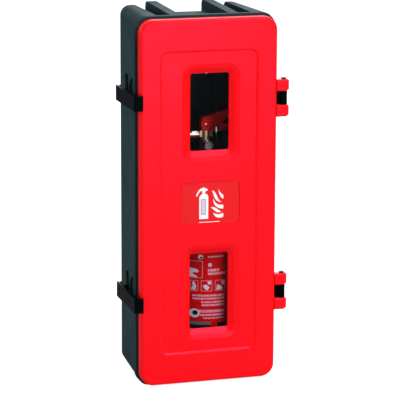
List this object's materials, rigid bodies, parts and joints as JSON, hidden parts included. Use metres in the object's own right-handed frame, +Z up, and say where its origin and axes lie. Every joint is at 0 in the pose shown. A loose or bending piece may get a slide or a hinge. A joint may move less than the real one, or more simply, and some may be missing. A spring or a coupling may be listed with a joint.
{
  "type": "fire extinguisher cabinet",
  "caption": "Moulded wall cabinet for one extinguisher, with a hinged red front door, two viewing windows, side latches and the extinguisher inside.",
  "frame": {"origin": "middle of the four wall fixings, on the back plane that lies against the wall", "axes": "+Z up, +Y into the wall, so the door faces -Y; +X to the right seen from the front"},
  "size_m": [0.3565, 0.2547, 0.8316],
  "materials": {
    "tub_plastic": "satin moulded polyethylene, dark slate",
    "door_plastic": "semi-gloss moulded red",
    "latch_plastic": "moulded black",
    "seal_foam": "closed-cell foam",
    "sign_face": "printed sign",
    "clear_pane": "clear acrylic",
    "pin_black": "black coated steel",
    "plated_steel": "zinc plated",
    "bottle_enamel": "gloss red enamel",
    "label_film": "printed film",
    "valve_brass": "cast and turned",
    "gauge_chrome": "bright rim"
  },
  "bodies": {
    "cabinet": {"body_shell": "tub_plastic", "door_seal": "seal_foam", "upper_hinge_lug": "latch_plastic", "lower_hinge_lug": "latch_plastic", "upper_hinge_pin": "pin_black", "lower_hinge_pin": "pin_black", "upper_latch_anchor": "latch_plastic", "lower_latch_anchor": "latch_plastic", "upper_latch_pin": "plated_steel", "lower_latch_pin": "plated_steel", "extinguisher_bottle": "bottle_enamel", "extinguisher_foot": "latch_plastic", "extinguisher_label": "label_film", "extinguisher_valve": "valve_brass", "pressure_gauge": "gauge_chrome", "hose_outlet": "plated_steel", "carry_handle": "bottle_enamel", "squeeze_lever": "bottle_enamel", "lever_pin": "plated_steel", "safety_pin": "plated_steel"},
    "door": {"door_panel": "door_plastic", "sign_plate": "sign_face", "upper_window_pane": "clear_pane", "lower_window_pane": "clear_pane", "upper_window_frame": "latch_plastic", "lower_window_frame": "latch_plastic"},
    "upper_latch": {"upper_latch_arm": "latch_plastic"},
    "lower_latch": {"lower_latch_arm": "latch_plastic"}
  },
  "joints": [
    {"name": "door_swing", "type": "hinge", "parent": "cabinet", "child": "door", "pos_m": [0.1735, -0.236, 0], "axis": [0, 0, 1], "range_deg": [0, 170]},
    {"name": "upper_latch_swing", "type": "hinge", "parent": "cabinet", "child": "upper_latch", "pos_m": [-0.165, -0.097, 0.2295], "axis": [0, 0, -1], "range_deg": [0, 100]},
    {"name": "lower_latch_swing", "type": "hinge", "parent": "cabinet", "child": "lower_latch", "pos_m": [-0.165, -0.097, -0.2205], "axis": [0, 0, -1], "range_deg": [0, 100]}
  ]
}
